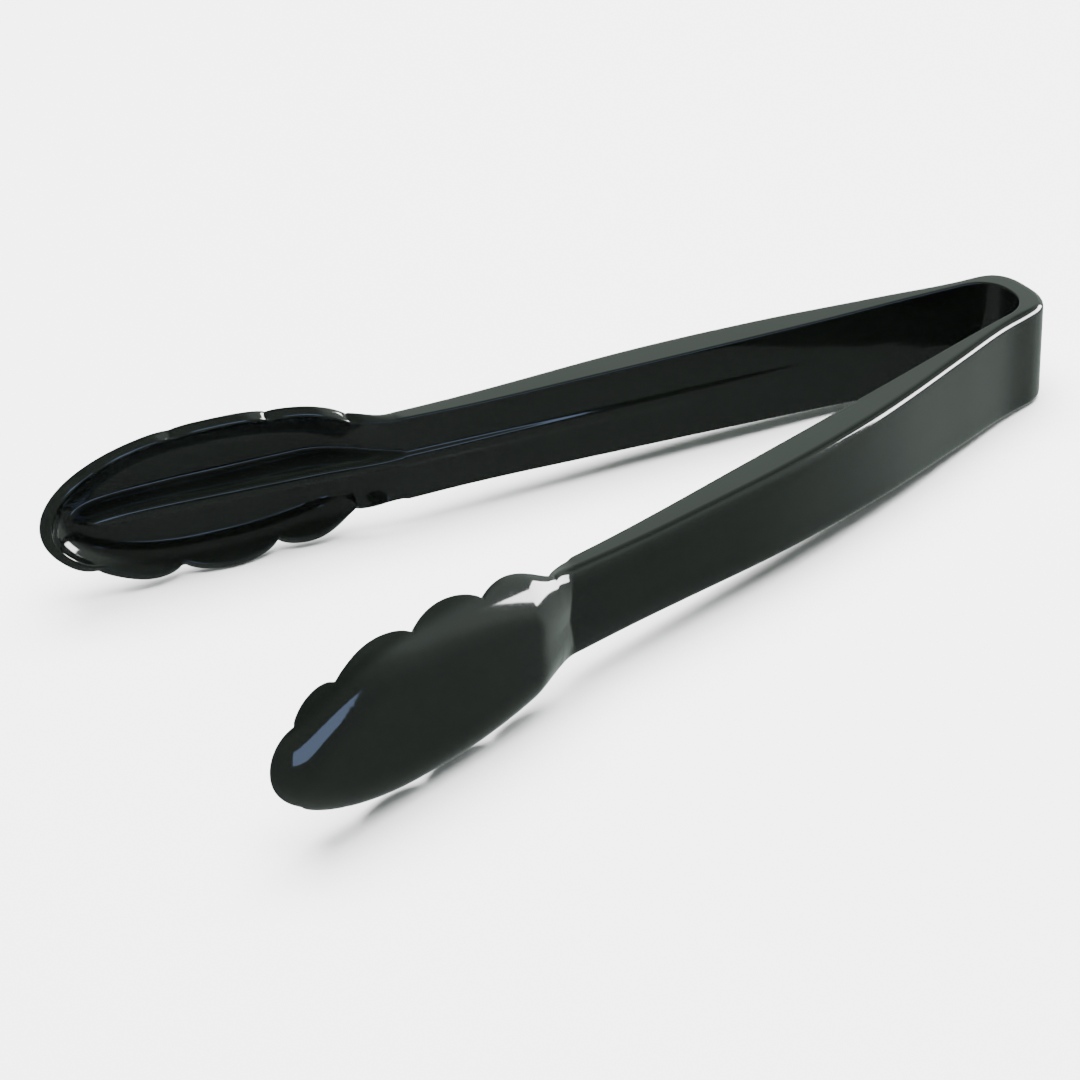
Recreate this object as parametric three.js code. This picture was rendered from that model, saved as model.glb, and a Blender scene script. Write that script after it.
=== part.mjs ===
// Spring loaded kitchen tongs: one moulding in glossy black plastic, drawn as five zones.
// Millimetres, +Z up. The tongs lie on one side: the spring bend is at +X, the jaws at -X,
// the front arm at -Y and the rear arm at +Y. "u" is the distance from the back of the bend
// towards the jaws, and "y" the distance from the centre plane, the same for both arms.
import * as THREE from 'three';
import { mergeVertices } from 'three/addons/utils/BufferGeometryUtils.js';

// ---- driving dimensions ----
const TIP = 229.5; // where the jaws end, along u
const JAW_START = 150; // neck, where each jaw's back swells out of the arm
const FLEX = 15.5; // thinnest section of each leg of the bend, where the arm flexes
const ZONE_GAP = 0.3; // clearance that keeps neighbouring zones apart

// outside and inside of the bend in plan: superellipses that open towards the arms by "slope"
const CROWN = { centre: 8.5, along: 7.2, across: 10.7, power: 2.8, slope: 0.2 };
const EYE = { centre: 14, along: 7.1, across: 8.5, power: 2.4, slope: 0.186 };
const ARM_BACK = [[8.5, 10.7], [16, 12.2], [32, 16.9], [60, 25.2], [89, 31.8], [119, 36.3], [150, 40.3]];
const HALF_HEIGHT = [[0, 12.8], [20, 12.6], [50, 11.7], [100, 10.7], [138, 10.3], [150, 10.6]];
const SHOULDER_DEPTH = [[0, 1.8], [60, 1.8], [150, 2.6]]; // rounding, across the thickness
const SHOULDER_DROP = [[0, 1.8], [60, 2.2], [105, 5], [150, 7.8]]; // rounding, down the face
const RIDGE_HALF = 1.4; // half width of the ridge along the inner face
const RIDGE_HEIGHT = [[0, 0], [40, 0], [90, 0.35], [150, 0.7]];

const WALL = 2.5; // jaw wall
const JAW_HALF_HEIGHT = 19.4; // at the widest place
const JAW_WIDEST = 193.5;
const LIP_Y = 36; // inner corner of the lip, at the neck
const LIP_SLOPE = 0.2;
const LIP_ANGLE = THREE.MathUtils.degToRad(62.5); // how far the lip has turned in at its edge
const LIP_RADIUS = 9.2;
const SPINE_END = 217; // the bowl closes in a fan around this point
const KEEL_Y = 34; // crest of the keel inside the jaw, at the neck
const KEEL_SLOPE = 0.235;
const KEEL_FOOT = 4.4; // half width of the keel at its foot
const SCALLOP_DEPTH = 2.8;
const REAR_NOTCHES = [159.5, 177, 198.7, 218]; // half a pitch apart, so the two jaws
const FRONT_NOTCHES = [155.7, 175.6, 193.6, 213.3, 224]; // mesh when the tongs close

const BLACK = { color: 0x1b211d, roughness: 0.16, metalness: 0 };

// ---- small helpers ----
const mix = (a, b, t) => a + (b - a) * t;
const ramp = (x, from, to) => THREE.MathUtils.smoothstep(x, from, to);
const clamp = THREE.MathUtils.clamp;

// a smooth curve through [distance, value] pairs
function profile(knots) {
  const curve = new THREE.CatmullRomCurve3(knots.map(([u, v]) => new THREE.Vector3(u, v, 0)));
  curve.curveType = 'catmullrom';
  const table = curve.getPoints(400);
  return (u) => {
    const i = clamp(table.findIndex((p) => p.x >= u), 1, table.length - 1);
    const a = table[i - 1];
    const b = table[i];
    return mix(a.y, b.y, (u - a.x) / (b.x - a.x));
  };
}

const backY = profile(ARM_BACK);
const halfHeight = profile(HALF_HEIGHT);
const shoulderDepth = profile(SHOULDER_DEPTH);
const shoulderDrop = profile(SHOULDER_DROP);
const ridgeHeight = profile(RIDGE_HEIGHT);
const innerY = (u) => EYE.across + EYE.slope * (u - EYE.centre);

// ---- half sections, from the inner face at mid height over the top to the back ----
const INNER_STEPS = [0, 0.5, 1, 1.6]; // over the ridge, in ridge half widths
const CURL_STEPS = 5; // points round a shoulder or a lip

// section of an arm: thickness runs from yIn to yBack, height from the mid plane
function armHalf(u, yIn, yBack) {
  const top = halfHeight(u);
  const deep = Math.min(shoulderDepth(u), (yBack - yIn) * 0.6);
  const drop = shoulderDrop(u);
  const sunk = ridgeHeight(u);
  const points = INNER_STEPS.map((step) => [yIn + sunk * ramp(step, 0.5, 1.6), step * RIDGE_HALF]);
  for (let i = 1; i <= CURL_STEPS; i++) {
    points.push([yIn + sunk, mix(INNER_STEPS.at(-1) * RIDGE_HALF, top, i / CURL_STEPS)]);
  }
  for (let i = 0; i <= CURL_STEPS; i++) {
    const a = (Math.PI / 2) * (i / CURL_STEPS);
    points.push([yBack - deep * (1 - Math.sin(a)), top - drop * (1 - Math.cos(a))]);
  }
  points.push([yBack, (top - drop) * 0.5], [yBack, 0]);
  return points;
}

// half height of the jaw's outline at u: a sine rise from the neck, then half an ellipse
function outlineHeight(u) {
  if (u > JAW_WIDEST) {
    const t = (u - JAW_WIDEST) / (TIP - JAW_WIDEST);
    return JAW_HALF_HEIGHT * Math.sqrt(Math.max(0, 1 - t * t));
  }
  const t = clamp((u - JAW_START) / 38.5, 0, 1) ** 0.82;
  return mix(10.6, JAW_HALF_HEIGHT, Math.sin((Math.PI / 2) * t));
}

// how much of the lip the scallops take away at u, measured round the lip
function scallopCut(u, notches) {
  const next = notches.findIndex((n) => n > u);
  if (next <= 0) {
    const edge = next === 0 ? notches[0] : notches.at(-1);
    const room = next === 0 ? 5.5 : 6;
    return SCALLOP_DEPTH * (next === 0 ? 0.8 : 0.45) * Math.max(0, 1 - Math.abs(u - edge) / room) ** 2;
  }
  const t = (u - notches[next - 1]) / (notches[next] - notches[next - 1]);
  const depth = SCALLOP_DEPTH * mix(1, 0.45, ramp(u, 205, 219));
  return depth * (1 - Math.sin(Math.PI * t) ** 0.6);
}

// section of a jaw along the line that leaves the spine and meets the outline at u
function jawHalf(u, notches) {
  const lift = outlineHeight(u);
  const spine = u < JAW_WIDEST ? u : mix(JAW_WIDEST, SPINE_END, (u - JAW_WIDEST) / (TIP - JAW_WIDEST));
  const reach = Math.hypot(u - spine, lift);
  const along = (u - spine) / reach;
  const up = lift / reach;
  const inner = reach - WALL * Math.sin(LIP_ANGLE);
  const radius = Math.min(LIP_RADIUS, (inner - RIDGE_HALF) / Math.sin(LIP_ANGLE));
  const start = LIP_ANGLE - scallopCut(u, notches) / radius;
  const panel = radius * (1 - Math.cos(LIP_ANGLE));
  const foot = inner - radius * Math.sin(LIP_ANGLE);
  const crest = KEEL_Y + KEEL_SLOPE * (spine - JAW_START) - (LIP_Y + LIP_SLOPE * (spine - JAW_START));
  const place = (r, depth) => {
    const atU = spine + along * r;
    return [LIP_Y + LIP_SLOPE * (atU - JAW_START) + depth, up * r, atU];
  };
  const points = INNER_STEPS.map((step) => {
    const r = Math.min(step * RIDGE_HALF, foot);
    return place(r, mix(crest, panel, ramp(r, 1, KEEL_FOOT)));
  });
  for (let i = 1; i <= CURL_STEPS; i++) {
    const angle = start * Math.max(0, (i - 1) / (CURL_STEPS - 1));
    const r = inner - radius * (Math.sin(LIP_ANGLE) - Math.sin(angle));
    const depth = radius * (Math.cos(angle) - Math.cos(LIP_ANGLE));
    points.push(place(r, mix(crest, depth, ramp(r, 1, KEEL_FOOT))));
  }
  for (let i = 0; i <= CURL_STEPS; i++) {
    const angle = start * (1 - i / CURL_STEPS);
    const r = inner - radius * (Math.sin(LIP_ANGLE) - Math.sin(angle)) + WALL * Math.sin(angle);
    points.push(place(r, radius * (Math.cos(angle) - Math.cos(LIP_ANGLE)) + WALL * Math.cos(angle)));
  }
  points.push(place(foot * 0.5, panel + WALL), place(0, panel + WALL));
  return points;
}

// the jaw grows out of the arm: inner face and rim turn over gently, the heel has a crease
function jawSection(u, notches) {
  const arm = armHalf(Math.min(u, JAW_START), innerY(u), mix(backY(JAW_START), 44, (u - JAW_START) / 30));
  const jaw = jawHalf(u, notches);
  const inside = ramp(u, JAW_START - 6, JAW_START + 20);
  const heel = Math.sin((Math.PI / 2) * clamp((u - JAW_START) / 14, 0, 1));
  const lastInner = INNER_STEPS.length + CURL_STEPS - 1;
  return jaw.map(([y, z, atU], i) => {
    const t = i <= lastInner ? inside : mix(inside, heel, clamp((i - lastInner) / 3, 0, 1));
    return [mix(arm[i][0], y, t), mix(arm[i][1], z, t), mix(u, atU, t)];
  });
}

// ---- skins ----
const MIDDLE = (TIP + CROWN.centre - CROWN.along) / 2; // halfway along, where x is 0
const world = (u, y, z) => new THREE.Vector3(MIDDLE - u, y, z + JAW_HALF_HEIGHT);

// a closed ring of points from a half section and its mirror image below the mid plane
function ring(half) {
  const below = half.slice(1, -1).reverse();
  return [...half, ...below.map(([y, z, u]) => [y, -z, u])].map(([y, z, u]) => world(u, y, z));
}

// joins rings into a closed mesh; the last ring may be folded flat, which closes it by itself
function skin(rings, side, foldedEnd = false) {
  const count = rings[0].length;
  const positions = rings.flat().flatMap((p) => [p.x, p.y * side, p.z]);
  const faces = [];
  for (let k = 0; k + 1 < rings.length; k++) {
    for (let i = 0; i < count; i++) {
      const a = k * count + i;
      const b = k * count + ((i + 1) % count);
      faces.push([a, b, b + count], [a, b + count, a + count]);
    }
  }
  // a cap follows its ring backwards at the start and forwards at the end
  const cap = (k, forwards) => {
    const flat = rings[k].map((p) => new THREE.Vector2(p.y, p.z));
    const triangles = THREE.ShapeUtils.triangulateShape(flat, []);
    const follows = triangles.some((t) => t.some((v, i) => v === 0 && t[(i + 1) % 3] === 1));
    for (const [a, b, c] of triangles) {
      const turned = follows === forwards ? [a, b, c] : [a, c, b];
      faces.push(turned.map((v) => k * count + v));
    }
  };
  cap(0, false);
  if (!foldedEnd) {
    cap(rings.length - 1, true);
  }
  return solid(positions, faces);
}

// merges shared corners, drops faces that have lost their area and points the rest outwards
function solid(positions, faces) {
  let geometry = new THREE.BufferGeometry();
  geometry.setAttribute('position', new THREE.Float32BufferAttribute(positions, 3));
  geometry.setIndex(faces.flat());
  geometry = mergeVertices(geometry, 1e-4);
  const index = geometry.index.array;
  const at = geometry.attributes.position;
  const kept = [];
  let volume = 0;
  const [a, b, c] = [new THREE.Vector3(), new THREE.Vector3(), new THREE.Vector3()];
  for (let i = 0; i < index.length; i += 3) {
    const [p, q, r] = index.slice(i, i + 3);
    if (p !== q && q !== r && r !== p) {
      kept.push([p, q, r]);
      a.fromBufferAttribute(at, p);
      b.fromBufferAttribute(at, q).cross(c.fromBufferAttribute(at, r));
      volume += a.dot(b);
    }
  }
  geometry.setIndex(kept.map(([p, q, r]) => (volume > 0 ? [p, q, r] : [p, r, q])).flat());
  geometry.computeVertexNormals();
  return geometry;
}

const steps = (from, to, count) => Array.from({ length: count + 1 }, (_, i) => mix(from, to, i / count));

// ---- the zones ----
// plan of one leg of the bend, evenly spaced from the crown to the section where it flexes
function legPlan({ centre, along, across, power, slope }, legY) {
  const end = FLEX - ZONE_GAP / 2;
  const turn = steps(0, Math.PI / 2, 24).map((angle) => {
    const u = centre - along * Math.max(0, Math.cos(angle)) ** (2 / power);
    return [u, (across + slope * (u - centre)) * Math.sin(angle) ** (2 / power)];
  });
  const leg = steps(centre, end, 4).slice(1).map((u) => [u, legY(u)]);
  const plan = new THREE.SplineCurve([...turn, ...leg].map(([u, y]) => new THREE.Vector2(u, y)));
  return plan.getSpacedPoints(16);
}

function bendRings() {
  const inside = legPlan(EYE, innerY);
  const outside = legPlan(CROWN, backY);
  const half = inside.map((eye, k) => {
    const crown = outside[k];
    const thick = eye.distanceTo(crown);
    const section = armHalf((eye.x + crown.x) / 2, 0, thick);
    return ring(section.map(([t, z]) => [mix(eye.y, crown.y, t / thick), z, mix(eye.x, crown.x, t / thick)]));
  });
  const mirror = (points) => points.map((p) => new THREE.Vector3(p.x, -p.y, p.z));
  return [...half.slice(1).reverse().map(mirror), ...half];
}

function armRings() {
  return steps(FLEX + ZONE_GAP / 2, JAW_START - ZONE_GAP / 2, 18).map((u) =>
    ring(armHalf(u, innerY(u), backY(u)).map(([y, z]) => [y, z, u])),
  );
}

function jawRings(notches) {
  const sides = steps(JAW_START + ZONE_GAP / 2, JAW_WIDEST, 26);
  const nose = steps(0, Math.PI / 2, 18).slice(1).map((a) => mix(JAW_WIDEST, TIP, Math.sin(a)));
  return [...sides, ...nose].map((u) => ring(jawSection(u, notches)));
}

// ---- assembly ----
const tongs = new THREE.Group();

function addZone(name, geometry) {
  const mesh = new THREE.Mesh(geometry, new THREE.MeshStandardMaterial(BLACK));
  mesh.name = name;
  tongs.add(mesh);
}

addZone('spring_bend', skin(bendRings(), 1));
addZone('front_arm', skin(armRings(), -1));
addZone('rear_arm', skin(armRings(), 1));
addZone('front_jaw', skin(jawRings(FRONT_NOTCHES), -1, true));
addZone('rear_jaw', skin(jawRings(REAR_NOTCHES), 1, true));

export default tongs;
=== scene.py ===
"""One-piece spring serving tongs in glossy black plastic.

The moulding is drawn as its working zones: the two halves of the spring bend, the two arms and
the two scalloped jaws. All of them are cut from one continuous surface, so no seam shows.
"""

import math

import bmesh
import bpy
import numpy as np
from mathutils import Matrix, Vector


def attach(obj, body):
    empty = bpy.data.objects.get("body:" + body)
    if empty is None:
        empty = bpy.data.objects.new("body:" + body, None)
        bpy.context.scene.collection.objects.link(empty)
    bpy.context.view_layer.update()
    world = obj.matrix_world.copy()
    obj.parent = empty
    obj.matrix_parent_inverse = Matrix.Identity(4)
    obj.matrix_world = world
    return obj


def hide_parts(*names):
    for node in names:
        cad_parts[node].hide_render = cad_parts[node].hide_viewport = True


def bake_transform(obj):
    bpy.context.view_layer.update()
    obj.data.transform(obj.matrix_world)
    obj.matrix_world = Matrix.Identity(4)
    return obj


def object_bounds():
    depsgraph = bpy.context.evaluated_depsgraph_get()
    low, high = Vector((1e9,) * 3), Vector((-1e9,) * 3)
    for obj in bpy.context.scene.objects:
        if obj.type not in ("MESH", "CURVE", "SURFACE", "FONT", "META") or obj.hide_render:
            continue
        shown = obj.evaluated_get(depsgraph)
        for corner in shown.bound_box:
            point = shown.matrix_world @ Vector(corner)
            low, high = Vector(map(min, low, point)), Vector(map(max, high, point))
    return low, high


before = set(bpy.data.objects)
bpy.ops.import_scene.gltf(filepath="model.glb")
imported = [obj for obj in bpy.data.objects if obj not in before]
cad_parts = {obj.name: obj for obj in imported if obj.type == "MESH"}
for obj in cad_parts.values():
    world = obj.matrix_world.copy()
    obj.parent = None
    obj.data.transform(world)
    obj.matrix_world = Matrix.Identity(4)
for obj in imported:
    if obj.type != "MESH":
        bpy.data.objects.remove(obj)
CAD_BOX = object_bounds()

bl_info = {
    "name": "Spring Serving Tongs",
    "version": (1, 0, 0),
    "blender": (4, 5, 0),
    "location": "View3D > Sidebar > Tongs",
    "description": "Builds one-piece spring serving tongs with scalloped jaws, and a studio for them",
    "category": "Add Mesh",
}

MM = 0.001

# ---- form of the moulding, in millimetres ----
# "u" runs from just behind the bend towards the tips, "y" is the distance from the centre
# plane and "z" the height from the mid plane. Both sides are the same apart from the scallops.
BACK_GAP = 1.3  # from the datum of u to the back of the bend
TIP = 229.5  # where the jaws end
JAW_START = 150.0  # neck, where each jaw's back swells out of the arm
FLEX = 15.5  # thinnest section of each leg of the bend, where the arm flexes
CROWN = {"centre": 8.5, "along": 7.2, "across": 10.7, "power": 2.8, "slope": 0.2}
EYE = {"centre": 14.0, "along": 7.1, "across": 8.5, "power": 2.4, "slope": 0.186}
ARM_BACK = ((8.5, 10.7), (16, 12.2), (32, 16.9), (60, 25.2), (89, 31.8), (119, 36.3), (150, 40.3))
HALF_HEIGHT = ((0, 12.8), (20, 12.6), (50, 11.7), (100, 10.7), (138, 10.3), (150, 10.6))
SHOULDER_DEPTH = ((0, 1.8), (60, 1.8), (150, 2.6))  # rounding, across the thickness
SHOULDER_DROP = ((0, 1.8), (60, 2.2), (105, 5), (150, 7.8))  # rounding, down the face
RIDGE_HALF = 1.4  # half width of the ridge along the inner face
RIDGE_HEIGHT = ((0, 0), (40, 0), (90, 0.35), (150, 0.7))
JAW_HALF_HEIGHT = 19.4  # at the widest place
JAW_WIDEST = 193.5
NECK_HALF_HEIGHT = 10.6  # of the outline where the jaw begins
RISE_LENGTH, RISE_POWER = 38.5, 0.82  # how the outline widens from the neck
NECK_BACK = (44.0, 30.0)  # y that the arm's back would reach, and how far on from the neck
HEEL_LENGTH = 14.0  # over which the back swells out of the arm
HEEL_BOW = 3.2  # how much later it starts at mid height than at the lips
LIP_Y = 36.0  # inner corner of the lip, at the neck
LIP_SLOPE = 0.2
LIP_ANGLE = math.radians(62.5)  # how far the lip has turned in at its edge
LIP_RADIUS = 9.2
SPINE_END = 217.0  # the bowl closes in a fan around this point
KEEL_Y = 34.0  # crest of the keel inside the jaw, at the neck
KEEL_SLOPE = 0.235
KEEL_FOOT = 4.4  # half width of the keel at its foot
REAR_NOTCHES = (159.5, 177, 198.7, 218)  # half a pitch apart, so the two jaws
FRONT_NOTCHES = (155.7, 175.6, 193.6, 213.3, 224)  # mesh when the tongs close
NECK_NOTCH = (5.5, 0.8)  # outer side of the first notch: its length, and its share of the depth
TIP_NOTCH = (6.0, 0.45)  # the same for the last notch
SCALLOPS_FADE = (205.0, 219.0)  # between these the scallops get shallower

# how finely the surface is drawn
BEND_RINGS, ARM_RINGS, JAW_SIDE_RINGS, JAW_NOSE_RINGS = 44, 96, 120, 60
RIDGE_POINTS, FLANK_POINTS, FILLET_POINTS, LAND_POINTS, OUTSIDE_POINTS = 8, 16, 5, 3, 26
DENSE = 60  # points on each line of a section before it is thinned out


# ---- sizes and colours that a user would change ----
def hex_to_linear(text):
    """An sRGB hex colour as linear RGB."""
    channels = [int(text[i : i + 2], 16) / 255 for i in (1, 3, 5)]
    return [c / 12.92 if c <= 0.04045 else ((c + 0.055) / 1.055) ** 2.4 for c in channels]


class TongsSizes(bpy.types.PropertyGroup):
    jaw_wall: bpy.props.FloatProperty(
        name="Jaw Wall", description="Thickness of the spoon-shaped jaws",
        default=2.5 * MM, min=1.5 * MM, max=2.5 * MM, unit="LENGTH", precision=4)
    scallop_depth: bpy.props.FloatProperty(
        name="Scallop Depth", description="How deep the scallops cut into the lips",
        default=2.8 * MM, min=0.0, max=4 * MM, unit="LENGTH", precision=4)
    edge_round: bpy.props.FloatProperty(
        name="Edge Rounding", description="Radius on the rims of the bend and the arms",
        default=0.5 * MM, min=0.1 * MM, max=1.2 * MM, unit="LENGTH", precision=4)
    lip_round: bpy.props.FloatProperty(
        name="Lip Rounding", description="Radius on the edges of the jaws",
        default=0.7 * MM, min=0.1 * MM, max=1.2 * MM, unit="LENGTH", precision=4)


class TongsColours(bpy.types.PropertyGroup):
    plastic: bpy.props.FloatVectorProperty(
        name="Plastic", description="Colour of the moulding",
        default=hex_to_linear("#0a0d0b"), subtype="COLOR", min=0, max=1, size=3)
    floor: bpy.props.FloatVectorProperty(
        name="Floor", description="Colour of the studio floor",
        default=hex_to_linear("#f2f2f2"), subtype="COLOR", min=0, max=1, size=3)


# ---- small helpers ----
def mix(a, b, t):
    return a + (b - a) * t


def ramp(x, start, end):
    t = np.clip((x - start) / (end - start), 0, 1)
    return t * t * (3 - 2 * t)


def profile(knots):
    """A smooth curve through (distance, value) pairs, as a function of distance."""
    u, v = np.array(knots, float).T
    slope = np.gradient(v, u)
    step = np.diff(v) / np.diff(u)
    slope[0], slope[-1] = step[0], step[-1]

    def at(x):
        x = np.clip(x, u[0], u[-1])
        i = np.clip(np.searchsorted(u, x) - 1, 0, len(u) - 2)
        h = u[i + 1] - u[i]
        t = (x - u[i]) / h
        rise = v[i] * (2 * t**3 - 3 * t**2 + 1) + v[i + 1] * (3 * t**2 - 2 * t**3)
        return rise + h * (slope[i] * (t**3 - 2 * t**2 + t) + slope[i + 1] * (t**3 - t**2))

    return at


back_y = profile(ARM_BACK)
half_height = profile(HALF_HEIGHT)
shoulder_depth = profile(SHOULDER_DEPTH)
shoulder_drop = profile(SHOULDER_DROP)
ridge_height = profile(RIDGE_HEIGHT)


def inner_y(u):
    return EYE["across"] + EYE["slope"] * (u - EYE["centre"])


def spaced(line, count, start=0.0, end=0.0):
    """count points evenly spaced along a polyline, leaving out a length at its start and end."""
    run = np.concatenate([[0], np.cumsum(np.linalg.norm(np.diff(line, axis=0), axis=1))])
    at = np.linspace(start, run[-1] - end, count)
    return np.stack([np.interp(at, run, line[:, k]) for k in range(line.shape[1])], axis=1)


# ---- half sections, from the inner face at mid height over the top to the back ----
# Each is four lines of (y, z, u) points: ridge, flank, land and outside.
def arm_half(u, y_in, y_back):
    top = half_height(u)
    deep = min(shoulder_depth(u), (y_back - y_in) * 0.6)
    drop = shoulder_drop(u)
    sunk = ridge_height(u)
    step = np.linspace(0, 1.6, 24)
    ridge = [y_in + sunk * ramp(step, 0.5, 1.6), step * RIDGE_HALF]
    flank = [np.full(2, y_in + sunk), np.array([1.6 * RIDGE_HALF, top])]
    land = [np.array([y_in + sunk, y_back - deep]), np.full(2, top)]
    turn = np.linspace(0, math.pi / 2, 32)
    over = [y_back - deep * (1 - np.sin(turn)), top - drop * (1 - np.cos(turn))]
    outside = [np.append(over[0], y_back), np.append(over[1], 0)]
    return [np.stack([y, z, np.full(len(y), float(u))], axis=1) for y, z in (ridge, flank, land, outside)]


def outline_height(u):
    """Half height of the jaw's outline: a sine rise from the neck, then half an ellipse."""
    if u > JAW_WIDEST:
        t = (u - JAW_WIDEST) / (TIP - JAW_WIDEST)
        return JAW_HALF_HEIGHT * math.sqrt(max(0, 1 - t * t))
    t = np.clip((u - JAW_START) / RISE_LENGTH, 0, 1) ** RISE_POWER
    return mix(NECK_HALF_HEIGHT, JAW_HALF_HEIGHT, math.sin(math.pi / 2 * t))


def scallop_cut(u, notches, depth):
    """How much of the lip the scallops take away at u, measured round the lip."""
    nearest = [n for n in notches if n > u]
    if len(nearest) in (0, len(notches)):
        first = bool(nearest)
        edge, (room, share) = (notches[0], NECK_NOTCH) if first else (notches[-1], TIP_NOTCH)
        return depth * share * max(0, 1 - abs(u - edge) / room) ** 2
    after = notches.index(nearest[0])
    t = (u - notches[after - 1]) / (notches[after] - notches[after - 1])
    return depth * mix(1, TIP_NOTCH[1], ramp(u, *SCALLOPS_FADE)) * (1 - math.sin(math.pi * t) ** 0.6)


def jaw_half(u, notches, wall, depth):
    """The jaw's section along the line that leaves the spine and meets the outline at u."""
    lift = outline_height(u)
    spine = u if u < JAW_WIDEST else mix(JAW_WIDEST, SPINE_END, (u - JAW_WIDEST) / (TIP - JAW_WIDEST))
    reach = math.hypot(u - spine, lift)
    inner = reach - wall * math.sin(LIP_ANGLE)
    radius = min(LIP_RADIUS, (inner - RIDGE_HALF) / math.sin(LIP_ANGLE))
    edge = LIP_ANGLE - scallop_cut(u, notches, depth) / radius
    panel = radius * (1 - math.cos(LIP_ANGLE))
    foot = inner - radius * math.sin(LIP_ANGLE)
    crest = KEEL_Y - LIP_Y + (KEEL_SLOPE - LIP_SLOPE) * (spine - JAW_START)

    def place(r, deep):
        at_u = spine + (u - spine) / reach * r
        return np.stack([LIP_Y + LIP_SLOPE * (at_u - JAW_START) + deep, lift / reach * r, at_u], axis=1)

    angle = np.linspace(0, edge, 40)
    bowl_r = np.append(np.linspace(0, foot, 40)[:-1], inner - radius * (math.sin(LIP_ANGLE) - np.sin(angle)))
    bowl = np.append(np.full(39, panel), radius * (np.cos(angle) - math.cos(LIP_ANGLE)))
    keel_end = min(KEEL_FOOT, 0.5 * bowl_r[-1])
    ridge_r = np.linspace(0, keel_end, 24)
    flank_r = np.append(keel_end, bowl_r[bowl_r > keel_end])

    def inside(r):
        return place(r, mix(crest, np.interp(r, bowl_r, bowl), ramp(r, 1, KEEL_FOOT)))

    angle = angle[::-1]
    out_r = inner - radius * (math.sin(LIP_ANGLE) - np.sin(angle)) + wall * np.sin(angle)
    out = radius * (np.cos(angle) - math.cos(LIP_ANGLE)) + wall * np.cos(angle)
    outside = place(np.append(out_r, 0), np.append(out, panel + wall))
    ridge, flank = inside(ridge_r), inside(flank_r)
    return [ridge, flank, np.stack([flank[-1], outside[0]]), outside]


def dense(half):
    """The four lines of a half section with the same number of points each, so that they mix."""
    return [spaced(line, DENSE) for line in half]


def soften(half, inner_round, outer_round):
    """The half section as one line of points, with its two edges rounded."""
    ridge, flank, land, outside = half
    width = np.linalg.norm(land[-1] - land[0])
    a, b = min(inner_round, 0.4 * width), min(outer_round, 0.4 * width)
    t = np.linspace(0, 1, FILLET_POINTS + 2)[1:-1, None]
    flank_in = spaced(flank, FLANK_POINTS, end=a)
    across = spaced(land, LAND_POINTS, start=a, end=b)
    out = spaced(outside, OUTSIDE_POINTS, start=b)

    def fillet(start, corner, end):
        return start * (1 - t) ** 2 + corner * 2 * t * (1 - t) + end * t**2

    return np.concatenate([
        spaced(ridge, RIDGE_POINTS)[:-1], flank_in, fillet(flank_in[-1], flank[-1], across[0]),
        across, fillet(across[-1], land[-1], out[0]), out])


def jaw_section(u, notches, sizes):
    """The jaw grows out of the arm: inside and rim turn over gently, the heel has a crease."""
    wall, depth, rim, lip = sizes
    neck_back = mix(back_y(JAW_START), NECK_BACK[0], (u - JAW_START) / NECK_BACK[1])
    arm = dense(arm_half(min(u, JAW_START), inner_y(u), neck_back))
    jaw = dense(jaw_half(u, notches, wall, depth))
    for line in arm:
        line[:, 2] = u
    gentle = ramp(u, JAW_START - 6, JAW_START + 20)
    late = HEEL_BOW * np.sqrt(np.linspace(0, 1, DENSE))
    heel = np.sin(math.pi / 2 * np.clip((u - JAW_START - late) / (HEEL_LENGTH - late), 0, 1))
    turned = 0.34  # share of the heel's shape that the outer edge of the land has
    inner_lines = np.full((DENSE, 1), gentle)
    share = [inner_lines, inner_lines,
             np.linspace(gentle, mix(gentle, heel[0], turned), DENSE)[:, None],
             mix(gentle, heel, np.clip(np.linspace(turned, 5, DENSE), 0, 1))[:, None]]
    half = [mix(a, j, t) for a, j, t in zip(arm, jaw, share, strict=True)]
    return soften(half, mix(rim, lip, gentle), lip)


def leg_plan(shape, leg_y, count):
    """One leg of the bend in plan, evenly spaced from the crown to where it flexes."""
    turn = np.linspace(0, math.pi / 2, 120)
    power = 2 / shape["power"]
    u = shape["centre"] - shape["along"] * np.maximum(0, np.cos(turn)) ** power
    y = (shape["across"] + shape["slope"] * (u - shape["centre"])) * np.sin(turn) ** power
    leg = np.linspace(shape["centre"], FLEX, 12)[1:]
    return spaced(np.stack([np.append(u, leg), np.append(y, [leg_y(v) for v in leg])], axis=1), count)


def side_rings(notches, sizes):
    """All half sections of one side, from the crown of the bend to the tip."""
    rim = sizes[2]
    rings = []
    inside, outside = leg_plan(EYE, inner_y, BEND_RINGS), leg_plan(CROWN, back_y, BEND_RINGS)
    for eye, crown in zip(inside, outside, strict=True):
        thick = float(np.linalg.norm(crown - eye))
        half = dense(arm_half((eye[0] + crown[0]) / 2, 0, thick))
        for line in half:
            t = line[:, 0] / thick
            line[:, 2] = mix(eye[0], crown[0], t)
            line[:, 0] = mix(eye[1], crown[1], t)
        rings.append(soften(half, rim, rim))
    for u in np.linspace(FLEX, JAW_START, ARM_RINGS)[1:]:
        rings.append(soften(dense(arm_half(u, inner_y(u), back_y(u))), rim, rim))
    rings[-1] = jaw_section(JAW_START, notches, sizes)
    for u in np.linspace(JAW_START, JAW_WIDEST, JAW_SIDE_RINGS)[1:]:
        rings.append(jaw_section(u, notches, sizes))
    for angle in np.linspace(0, math.pi / 2, JAW_NOSE_RINGS)[1:]:
        rings.append(jaw_section(mix(JAW_WIDEST, TIP, math.sin(angle)), notches, sizes))
    return np.array(rings)


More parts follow.
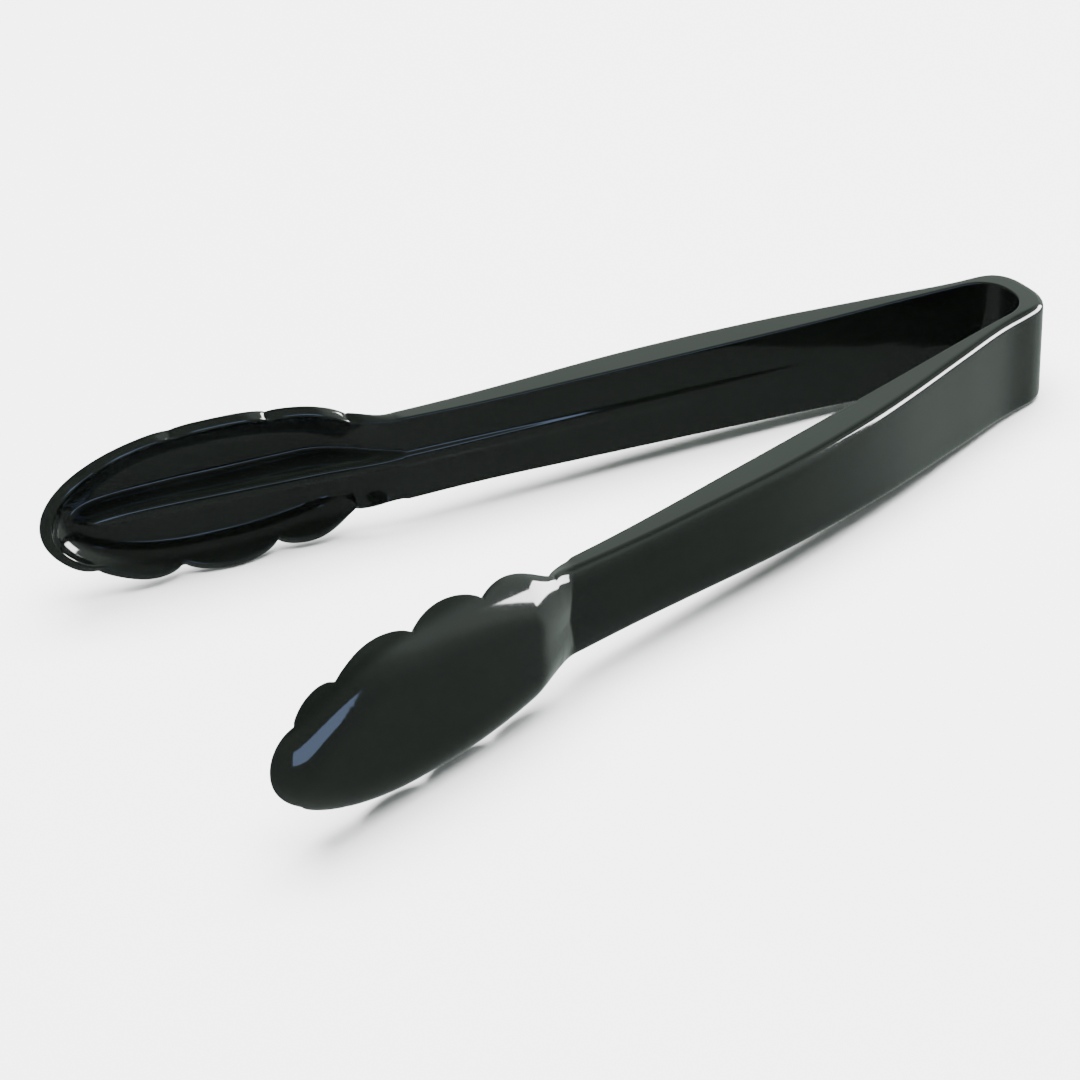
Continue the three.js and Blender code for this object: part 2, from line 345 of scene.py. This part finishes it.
ZONES = {  # first and last ring of each zone
    "bend": (0, BEND_RINGS - 1),
    "arm": (BEND_RINGS - 1, BEND_RINGS + ARM_RINGS - 2),
    "jaw": (BEND_RINGS + ARM_RINGS - 2, BEND_RINGS + ARM_RINGS + JAW_SIDE_RINGS + JAW_NOSE_RINGS - 4),
}
SIDES = {"front": (-1, FRONT_NOTCHES), "rear": (1, REAR_NOTCHES)}
_skins = {}


def side_skin(side):
    """Points and normals of one side's whole surface, ring by ring, in the row frame in metres."""
    settings = bpy.context.scene.tongs_sizes
    sizes = tuple(v / MM for v in (
        settings.jaw_wall, settings.scallop_depth, settings.edge_round, settings.lip_round))
    if (side, sizes) in _skins:
        return _skins[side, sizes]
    sign, notches = SIDES[side]
    halves = side_rings(notches, sizes)
    below = halves[:, -2:0:-1] * [1, -1, 1]
    loops = np.concatenate([halves, below], axis=1)
    back_x, mid_z = CAD_BOX[1].x / MM, (CAD_BOX[0].z + CAD_BOX[1].z) / 2 / MM
    y, z, u = loops[..., 0], loops[..., 1], loops[..., 2]
    points = np.stack([back_x + BACK_GAP - u, sign * y, mid_z + z], axis=2) * MM
    # past the crown the surface goes on into the other side, and past the tip it folds under,
    # so the normals there look at the ring that comes next
    crown = points[1] * [1, -1, 1]
    tip = points[-2] * [1, 1, -1] + [0, 0, 2 * mid_z * MM]
    long = np.concatenate([crown[None], points, tip[None]])
    along = long[2:] - long[:-2]
    around = np.roll(points, -1, axis=1) - np.roll(points, 1, axis=1)
    normals = np.cross(around, along) * sign
    normals /= np.maximum(np.linalg.norm(normals, axis=2, keepdims=True), 1e-12)
    _skins[side, sizes] = points, normals
    return _skins[side, sizes]


def zone_mesh(name, side, zone):
    """A closed mesh of one zone, shaded with the normals of the whole surface."""
    points, normals = side_skin(side)
    first, last = ZONES[zone]
    sign = SIDES[side][0]
    rings, count = last - first + 1, points.shape[1]
    folded = zone == "jaw"
    verts = points[first : last + 1].reshape(-1, 3)
    shade = normals[first : last + 1].reshape(-1, 3)
    index = np.arange(rings * count).reshape(rings, count)
    if folded:  # the last ring lies in the mid plane, so its lower half is its upper half
        upper = count // 2
        index[-1, upper + 1 :] = index[-1, upper - 1 : 0 : -1]
    faces, corners = [], []
    for k in range(rings - 1):
        for i in range(count):
            j = (i + 1) % count
            quad = [index[k, i], index[k, j], index[k + 1, j], index[k + 1, i]]
            quad = quad[::sign]
            quad = [v for n, v in enumerate(quad) if v not in quad[:n]]
            if len(quad) > 2:
                faces.append(quad)
                corners += [shade[v] for v in quad]
    for k, forwards in ((0, False), (rings - 1, True)):
        if k and folded:
            continue
        verts = np.concatenate([verts, verts[index[k]].mean(axis=0)[None]])
        flat = np.cross(verts[index[k, 8]] - verts[-1], verts[index[k, 30]] - verts[-1])
        flat = flat / np.linalg.norm(flat) * (1 if forwards else -1) * sign
        for i in range(count):
            face = [len(verts) - 1, index[k, i], index[k, (i + 1) % count]]
            faces.append(face if forwards == (sign > 0) else face[::-1])
            corners += [flat] * 3
    mesh = bpy.data.meshes.new(name)
    mesh.from_pydata(verts.tolist(), [], [list(map(int, f)) for f in faces])
    mesh.polygons.foreach_set("use_smooth", [True] * len(mesh.polygons))
    mesh.normals_split_custom_set([tuple(n) for n in corners])
    loose = np.setdiff1d(np.arange(len(verts)), np.unique(np.concatenate(faces)))
    if len(loose):
        drop_loose(mesh)
    return mesh


def drop_loose(mesh):
    """Deletes the points that no face uses, which the folded nose leaves behind."""
    bm = bmesh.new()
    bm.from_mesh(mesh)
    bmesh.ops.delete(bm, geom=[v for v in bm.verts if not v.link_faces], context="VERTS")
    bm.to_mesh(mesh)
    bm.free()


# ---- materials ----
def add(tree, kind, inputs=None, **settings):
    """Adds a node with its settings. inputs maps a socket to a constant or to an output socket."""
    node = tree.nodes.new(kind)
    for key, value in settings.items():
        setattr(node, key, value)
    for key, value in (inputs or {}).items():
        if isinstance(value, bpy.types.NodeSocket):
            tree.links.new(value, node.inputs[key])
        else:
            node.inputs[key].default_value = value
    return node


def new_material(name):
    material = bpy.data.materials.new(name)
    material.use_nodes = True
    material.node_tree.nodes.clear()
    return material


def moulded_polycarbonate():
    """Injection-moulded polycarbonate, black through, from a polished steel mould.

    To the eye: near-black with a green cast, a sharp glossy reflection that wanders a little
    with the flow of the plastic, and hairline scratches from use."""
    name = "polycarbonate_black_moulded"
    if name in bpy.data.materials:
        return bpy.data.materials[name]
    material = new_material(name)
    tree = material.node_tree
    colour = [*bpy.context.scene.tongs_colours.plastic, 1]
    place = add(tree, "ShaderNodeTexCoord").outputs["Object"]
    # shallow waves about 18 mm long, from the mould's polish and the plastic's shrinkage
    waves = add(tree, "ShaderNodeTexNoise", {"Vector": place, "Scale": 55, "Detail": 1})
    # orange peel, about 1.2 mm across
    peel = add(tree, "ShaderNodeTexNoise", {"Vector": place, "Scale": 850, "Detail": 2})
    # hairline scratches, along the length: 25 mm long and drawn 0.3 mm wide so that they show
    stretch = add(tree, "ShaderNodeMapping", {"Vector": place, "Scale": (40, 3300, 3300),
                                              "Rotation": (0.1, 0.05, 0.12)})
    hairs = add(tree, "ShaderNodeTexNoise", {"Vector": stretch.outputs[0], "Scale": 1, "Detail": 3})
    scratch = add(tree, "ShaderNodeMapRange", {"Value": hairs.outputs[0], "From Min": 0.62, "From Max": 0.72,
                                               "To Min": 0, "To Max": 1})
    rough = add(tree, "ShaderNodeMapRange", {"Value": waves.outputs[0], "From Min": 0.3, "From Max": 0.7,
                                             "To Min": 0.05, "To Max": 0.09})
    worn = add(tree, "ShaderNodeMath", {0: scratch.outputs[0], 1: 0.08, 2: rough.outputs[0]},
               operation="MULTIPLY_ADD")
    low = add(tree, "ShaderNodeBump", {"Height": waves.outputs[0], "Strength": 0.25, "Distance": 0.0004})
    fine = add(tree, "ShaderNodeBump", {"Height": peel.outputs[0], "Strength": 0.1, "Distance": 0.00004,
                                        "Normal": low.outputs[0]})
    shader = add(tree, "ShaderNodeBsdfPrincipled", {
        "Base Color": colour, "Roughness": worn.outputs[0], "IOR": 1.585, "Normal": fine.outputs[0]})
    add(tree, "ShaderNodeOutputMaterial", {"Surface": shader.outputs[0]})
    return material


def painted_floor():
    """A matt painted studio board: pale, with no gloss."""
    material = new_material("studio_board_matt_painted")
    tree = material.node_tree
    place = add(tree, "ShaderNodeTexCoord").outputs["Object"]
    # faint roller marks, about 8 mm across
    marks = add(tree, "ShaderNodeTexNoise", {"Vector": place, "Scale": 120, "Detail": 2})
    rough = add(tree, "ShaderNodeMapRange", {"Value": marks.outputs[0], "To Min": 0.85, "To Max": 0.95})
    shader = add(tree, "ShaderNodeBsdfPrincipled", {
        "Base Color": [*bpy.context.scene.tongs_colours.floor, 1], "Roughness": rough.outputs[0]})
    add(tree, "ShaderNodeOutputMaterial", {"Surface": shader.outputs[0]})
    return material


# ---- pieces ----
def add_piece(name, side, zone, node):
    """Makes one zone's piece, which stands for its CAD node."""
    mesh = zone_mesh(name, side, zone)
    mesh.materials.append(moulded_polycarbonate())
    piece = bpy.data.objects.new(name, mesh)
    bpy.context.scene.collection.objects.link(piece)
    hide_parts(node)
    return piece


def flex(piece):
    """Bakes the piece's placement into its mesh."""
    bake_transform(piece)


class TONGS_OT_spring_bend(bpy.types.Operator):
    """Builds the thick U bend that springs the tongs open, in two halves"""

    bl_idname = "tongs.spring_bend"
    bl_label = "Spring Bend"

    def execute(self, context):
        for side in SIDES:
            flex(add_piece(f"{side}_bend", side, "bend", "spring_bend"))
        return {"FINISHED"}


class TONGS_OT_arms(bpy.types.Operator):
    """Builds the two arms, flat rimmed at the bend and rounded at the neck"""

    bl_idname = "tongs.arms"
    bl_label = "Arms"

    def execute(self, context):
        for side in SIDES:
            flex(add_piece(f"{side}_arm_skin", side, "arm", f"{side}_arm"))
        return {"FINISHED"}


class TONGS_OT_jaws(bpy.types.Operator):
    """Builds the two scalloped spoon jaws with their keels"""

    bl_idname = "tongs.jaws"
    bl_label = "Jaws"

    def execute(self, context):
        for side in SIDES:
            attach(add_piece(f"{side}_jaw_skin", side, "jaw", f"{side}_jaw"), f"{side}_side")
        return {"FINISHED"}


# ---- stage ----
# Camera: where it stands in the row frame, and which way it looks
CAMERA_AT = (-0.3237, -0.5158, 0.3948)
CAMERA_TURN, CAMERA_TILT, CAMERA_ROLL = (math.radians(v) for v in (-30.48, 32.66, -2.5))
CAMERA_LENS = 108.9


def area_light(name, at, towards, size, power, colour=(1, 1, 1)):
    data = bpy.data.lights.new(name, "AREA")
    data.shape = "RECTANGLE"
    data.size, data.size_y = size
    data.energy = power
    data.color = colour
    lamp = bpy.data.objects.new(name, data)
    lamp.location = at
    lamp.rotation_euler = (Vector(towards) - Vector(at)).to_track_quat("-Z", "Y").to_euler()
    bpy.context.scene.collection.objects.link(lamp)
    return lamp


def add_camera():
    data = bpy.data.cameras.new("camera")
    data.lens = CAMERA_LENS
    data.sensor_width = 36
    camera = bpy.data.objects.new("camera", data)
    a, e = CAMERA_TURN, CAMERA_TILT
    right = Vector((math.cos(a), math.sin(a), 0))
    back = Vector((math.sin(a) * math.cos(e), -math.cos(a) * math.cos(e), math.sin(e)))
    up = back.cross(right)
    c, s = math.cos(CAMERA_ROLL), math.sin(CAMERA_ROLL)
    axes = Matrix((c * right + s * up, c * up - s * right, back)).transposed().to_4x4()
    camera.matrix_world = Matrix.Translation(CAMERA_AT) @ axes
    bpy.context.scene.collection.objects.link(camera)
    bpy.context.scene.camera = camera


def add_floor():
    """A board that the tongs lie on: it touches the lower lips of the jaws and the bend."""
    ends = []  # (x, z) of every point at the jaw and at the bend
    for name in ("front_jaw_skin", "front_bend"):
        at = np.array([v.co for v in bpy.data.objects[name].data.vertices])
        ends.append(at[:, [0, 2]])
    tilt = 0.0
    for _ in range(8):  # settle: the lowest point of each end for the tilt found so far
        jaw, bend = (end[np.argmin(end[:, 1] - math.tan(tilt) * end[:, 0])] for end in ends)
        tilt = math.atan2(bend[1] - jaw[1], bend[0] - jaw[0])
    x, z = jaw
    mesh = bpy.data.meshes.new("floor")
    half = 6.0  # metres
    square = [(-half, -half, 0), (half, -half, 0), (half, half, 0), (-half, half, 0)]
    mesh.from_pydata(square, [], [(0, 1, 2, 3)])
    mesh.materials.append(painted_floor())
    floor = bpy.data.objects.new("floor", mesh)
    floor.matrix_world = Matrix.Translation((x, 0, z - 0.02 * MM)) @ Matrix.Rotation(-tilt, 4, "Y")
    bpy.context.scene.collection.objects.link(floor)
    floor.visible_glossy = False  # the gloss shows the surroundings and not the board


def add_surroundings():
    """Soft surroundings: paler to the right and behind, dimmer in front and high up."""
    world = bpy.data.worlds.new("studio")
    world.use_nodes = True
    tree = world.node_tree
    tree.nodes.clear()
    direction = add(tree, "ShaderNodeTexCoord").outputs["Generated"]
    towards = add(tree, "ShaderNodeVectorMath", {0: direction, 1: (0.9, 0.3, 0.3)}, operation="DOT_PRODUCT")
    level = add(tree, "ShaderNodeMapRange", {"Value": towards.outputs["Value"], "From Min": -1, "From Max": 1,
                                             "To Min": 0, "To Max": 1})
    shades = add(tree, "ShaderNodeValToRGB", {"Fac": level.outputs[0]})
    stops = (
        (0.0, 0.3), (0.3, 0.26), (0.5, 0.23), (0.62, 0.23), (0.7, 0.45), (0.75, 0.85), (0.9, 0.8), (1.0, 1.0))
    elements = shades.color_ramp.elements
    while len(elements) < len(stops):
        elements.new(0.5)
    for element, (at, value) in zip(elements, stops, strict=True):
        element.position = at
        element.color = (value * 0.86, value, value * 0.92, 1)
    split = add(tree, "ShaderNodeSeparateXYZ", {0: direction})
    high = add(tree, "ShaderNodeMapRange", {"Value": split.outputs["Z"], "From Min": 0.55, "From Max": 0.75,
                                            "To Min": 1, "To Max": 0.3})
    shine = add(tree, "ShaderNodeBackground", {"Color": shades.outputs[0], "Strength": high.outputs[0]})
    add(tree, "ShaderNodeOutputWorld", {"Surface": shine.outputs[0]})
    bpy.context.scene.world = world


class TONGS_OT_stage(bpy.types.Operator):
    """Adds the camera, the floor and soft studio light"""

    bl_idname = "tongs.stage"
    bl_label = "Stage"

    def execute(self, context):
        add_camera()
        add_floor()
        add_surroundings()
        # a large softbox overhead lights the floor and the tops
        overhead = area_light("overhead_softbox", (0.1, 0.15, 1.5), (0, 0, 0), (1.6, 1.6), 190)
        overhead.visible_glossy = False
        # a low window to the right draws the bright lines on the shoulders and the heel, and a
        # cool one in front catches the end of the front jaw: both only show in the gloss
        window = area_light("window", (0.94, -0.27, 0.19), (-0.02, -0.04, 0.03), (0.7, 0.42), 38)
        cool = area_light(
            "cool_window", (-0.12, -1.25, 0.12), (-0.1, -0.05, 0.03), (1.3, 0.5), 7, (0.45, 0.6, 1))
        window.visible_diffuse = cool.visible_diffuse = False
        return {"FINISHED"}


class TONGS_PT_panel(bpy.types.Panel):
    bl_label = "Serving Tongs"
    bl_idname = "TONGS_PT_panel"
    bl_space_type = "VIEW_3D"
    bl_region_type = "UI"
    bl_category = "Tongs"

    def draw(self, context):
        for group in (context.scene.tongs_sizes, context.scene.tongs_colours):
            box = self.layout.box()
            for key in group.bl_rna.properties.keys():
                if key not in ("rna_type", "name"):
                    box.prop(group, key)
        for operator in STEPS:
            self.layout.operator(operator.bl_idname)


STEPS = (TONGS_OT_spring_bend, TONGS_OT_arms, TONGS_OT_jaws, TONGS_OT_stage)
CLASSES = (TongsSizes, TongsColours, *STEPS, TONGS_PT_panel)


def register():
    for item in CLASSES:
        bpy.utils.register_class(item)
    bpy.types.Scene.tongs_sizes = bpy.props.PointerProperty(type=TongsSizes)
    bpy.types.Scene.tongs_colours = bpy.props.PointerProperty(type=TongsColours)


def unregister():
    del bpy.types.Scene.tongs_sizes
    del bpy.types.Scene.tongs_colours
    for item in reversed(CLASSES):
        bpy.utils.unregister_class(item)


def main():
    register()
    bpy.ops.tongs.spring_bend()
    bpy.ops.tongs.arms()
    bpy.ops.tongs.jaws()
    bpy.ops.tongs.stage()


if __name__ == "__main__":
    main()
